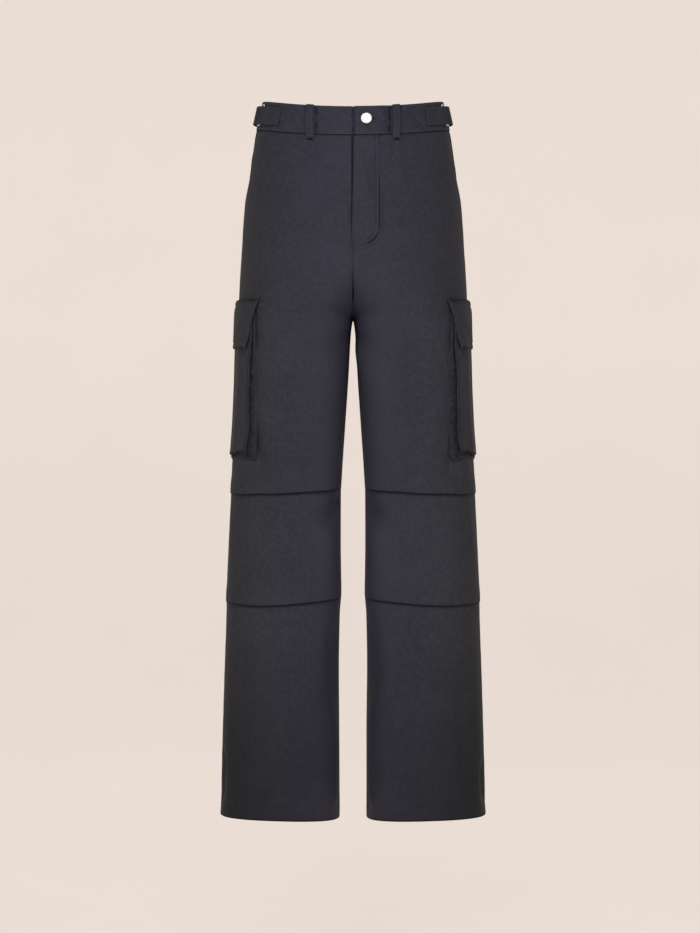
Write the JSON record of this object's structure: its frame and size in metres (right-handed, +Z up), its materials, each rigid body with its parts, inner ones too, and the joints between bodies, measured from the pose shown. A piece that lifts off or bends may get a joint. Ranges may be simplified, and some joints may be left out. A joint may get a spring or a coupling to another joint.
{
  "type": "cargo trousers",
  "caption": "Straight, wide-legged cargo trousers in charcoal twill, filled out as worn, with flap pockets, knee tucks and side waist adjusters.",
  "frame": {"origin": "middle of the waist opening, level with the waistband's top edge at the sides", "axes": "+Z up the wearer's body, -Y out of the front, +X to the wearer's left"},
  "size_m": [0.3828, 0.2474, 1.041],
  "materials": {
    "twill": "charcoal cotton-blend twill, matt with a faint sheen",
    "zip_tape": "black zip tape",
    "button_metal": "polished silver-coloured tack button",
    "ring_metal": "silver-coloured metal ring"
  },
  "bodies": {
    "root": {"adjuster_ring_left": "ring_metal", "adjuster_ring_right": "ring_metal", "adjuster_strap_left": "twill", "adjuster_strap_right": "twill", "adjuster_tab_left": "twill", "adjuster_tab_right": "twill", "back_left": "twill", "back_right": "twill", "belt_loop_back_centre": "twill", "belt_loop_back_left": "twill", "belt_loop_back_right": "twill", "belt_loop_front_left": "twill", "belt_loop_front_right": "twill", "cargo_flap_left": "twill", "cargo_flap_right": "twill", "cargo_pocket_face_left": "twill", "cargo_pocket_face_right": "twill", "cargo_pocket_gusset_left": "twill", "cargo_pocket_gusset_right": "twill", "fly_button": "button_metal", "fly_zip": "zip_tape", "front_left": "twill", "front_right": "twill", "slash_facing_left": "twill", "slash_facing_right": "twill", "waistband": "twill"}
  },
  "joints": []
}
